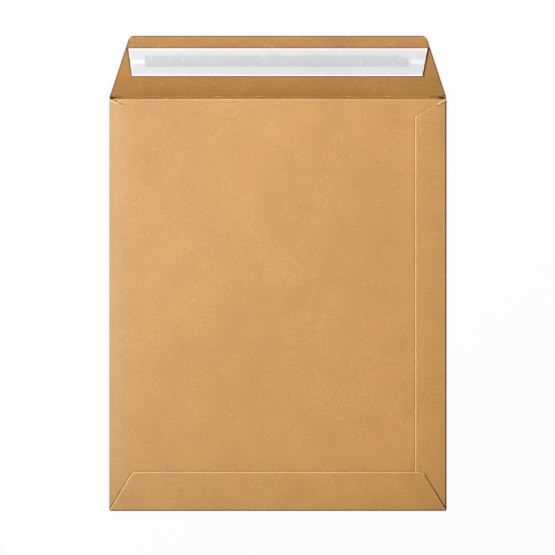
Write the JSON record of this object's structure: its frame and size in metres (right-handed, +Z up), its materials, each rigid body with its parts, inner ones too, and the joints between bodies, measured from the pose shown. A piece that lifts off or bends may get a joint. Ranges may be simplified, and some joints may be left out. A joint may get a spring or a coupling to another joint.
{
  "type": "paper envelope",
  "caption": "Peel and seal pocket envelope of manilla paper with side seam, glued bottom flap and open closing flap.",
  "frame": {"origin": "middle of the pocket's outer front face, which lies on the table", "axes": "+X to the right as seen from the back of the envelope, +Y up the pocket to the mouth and the closing flap, +Z up from the table, out of the back"},
  "size_m": [0.25, 0.3521, 0.0137],
  "materials": {
    "manilla_paper": "matte",
    "liner_paper": "satin",
    "sealing_adhesive": "satin",
    "seam_glue": "matte"
  },
  "bodies": {
    "root": {"folded_sheet": "manilla_paper", "release_liner": "liner_paper", "adhesive_strip": "sealing_adhesive", "side_seam_glue": "seam_glue", "bottom_flap_glue": "seam_glue"}
  },
  "joints": []
}
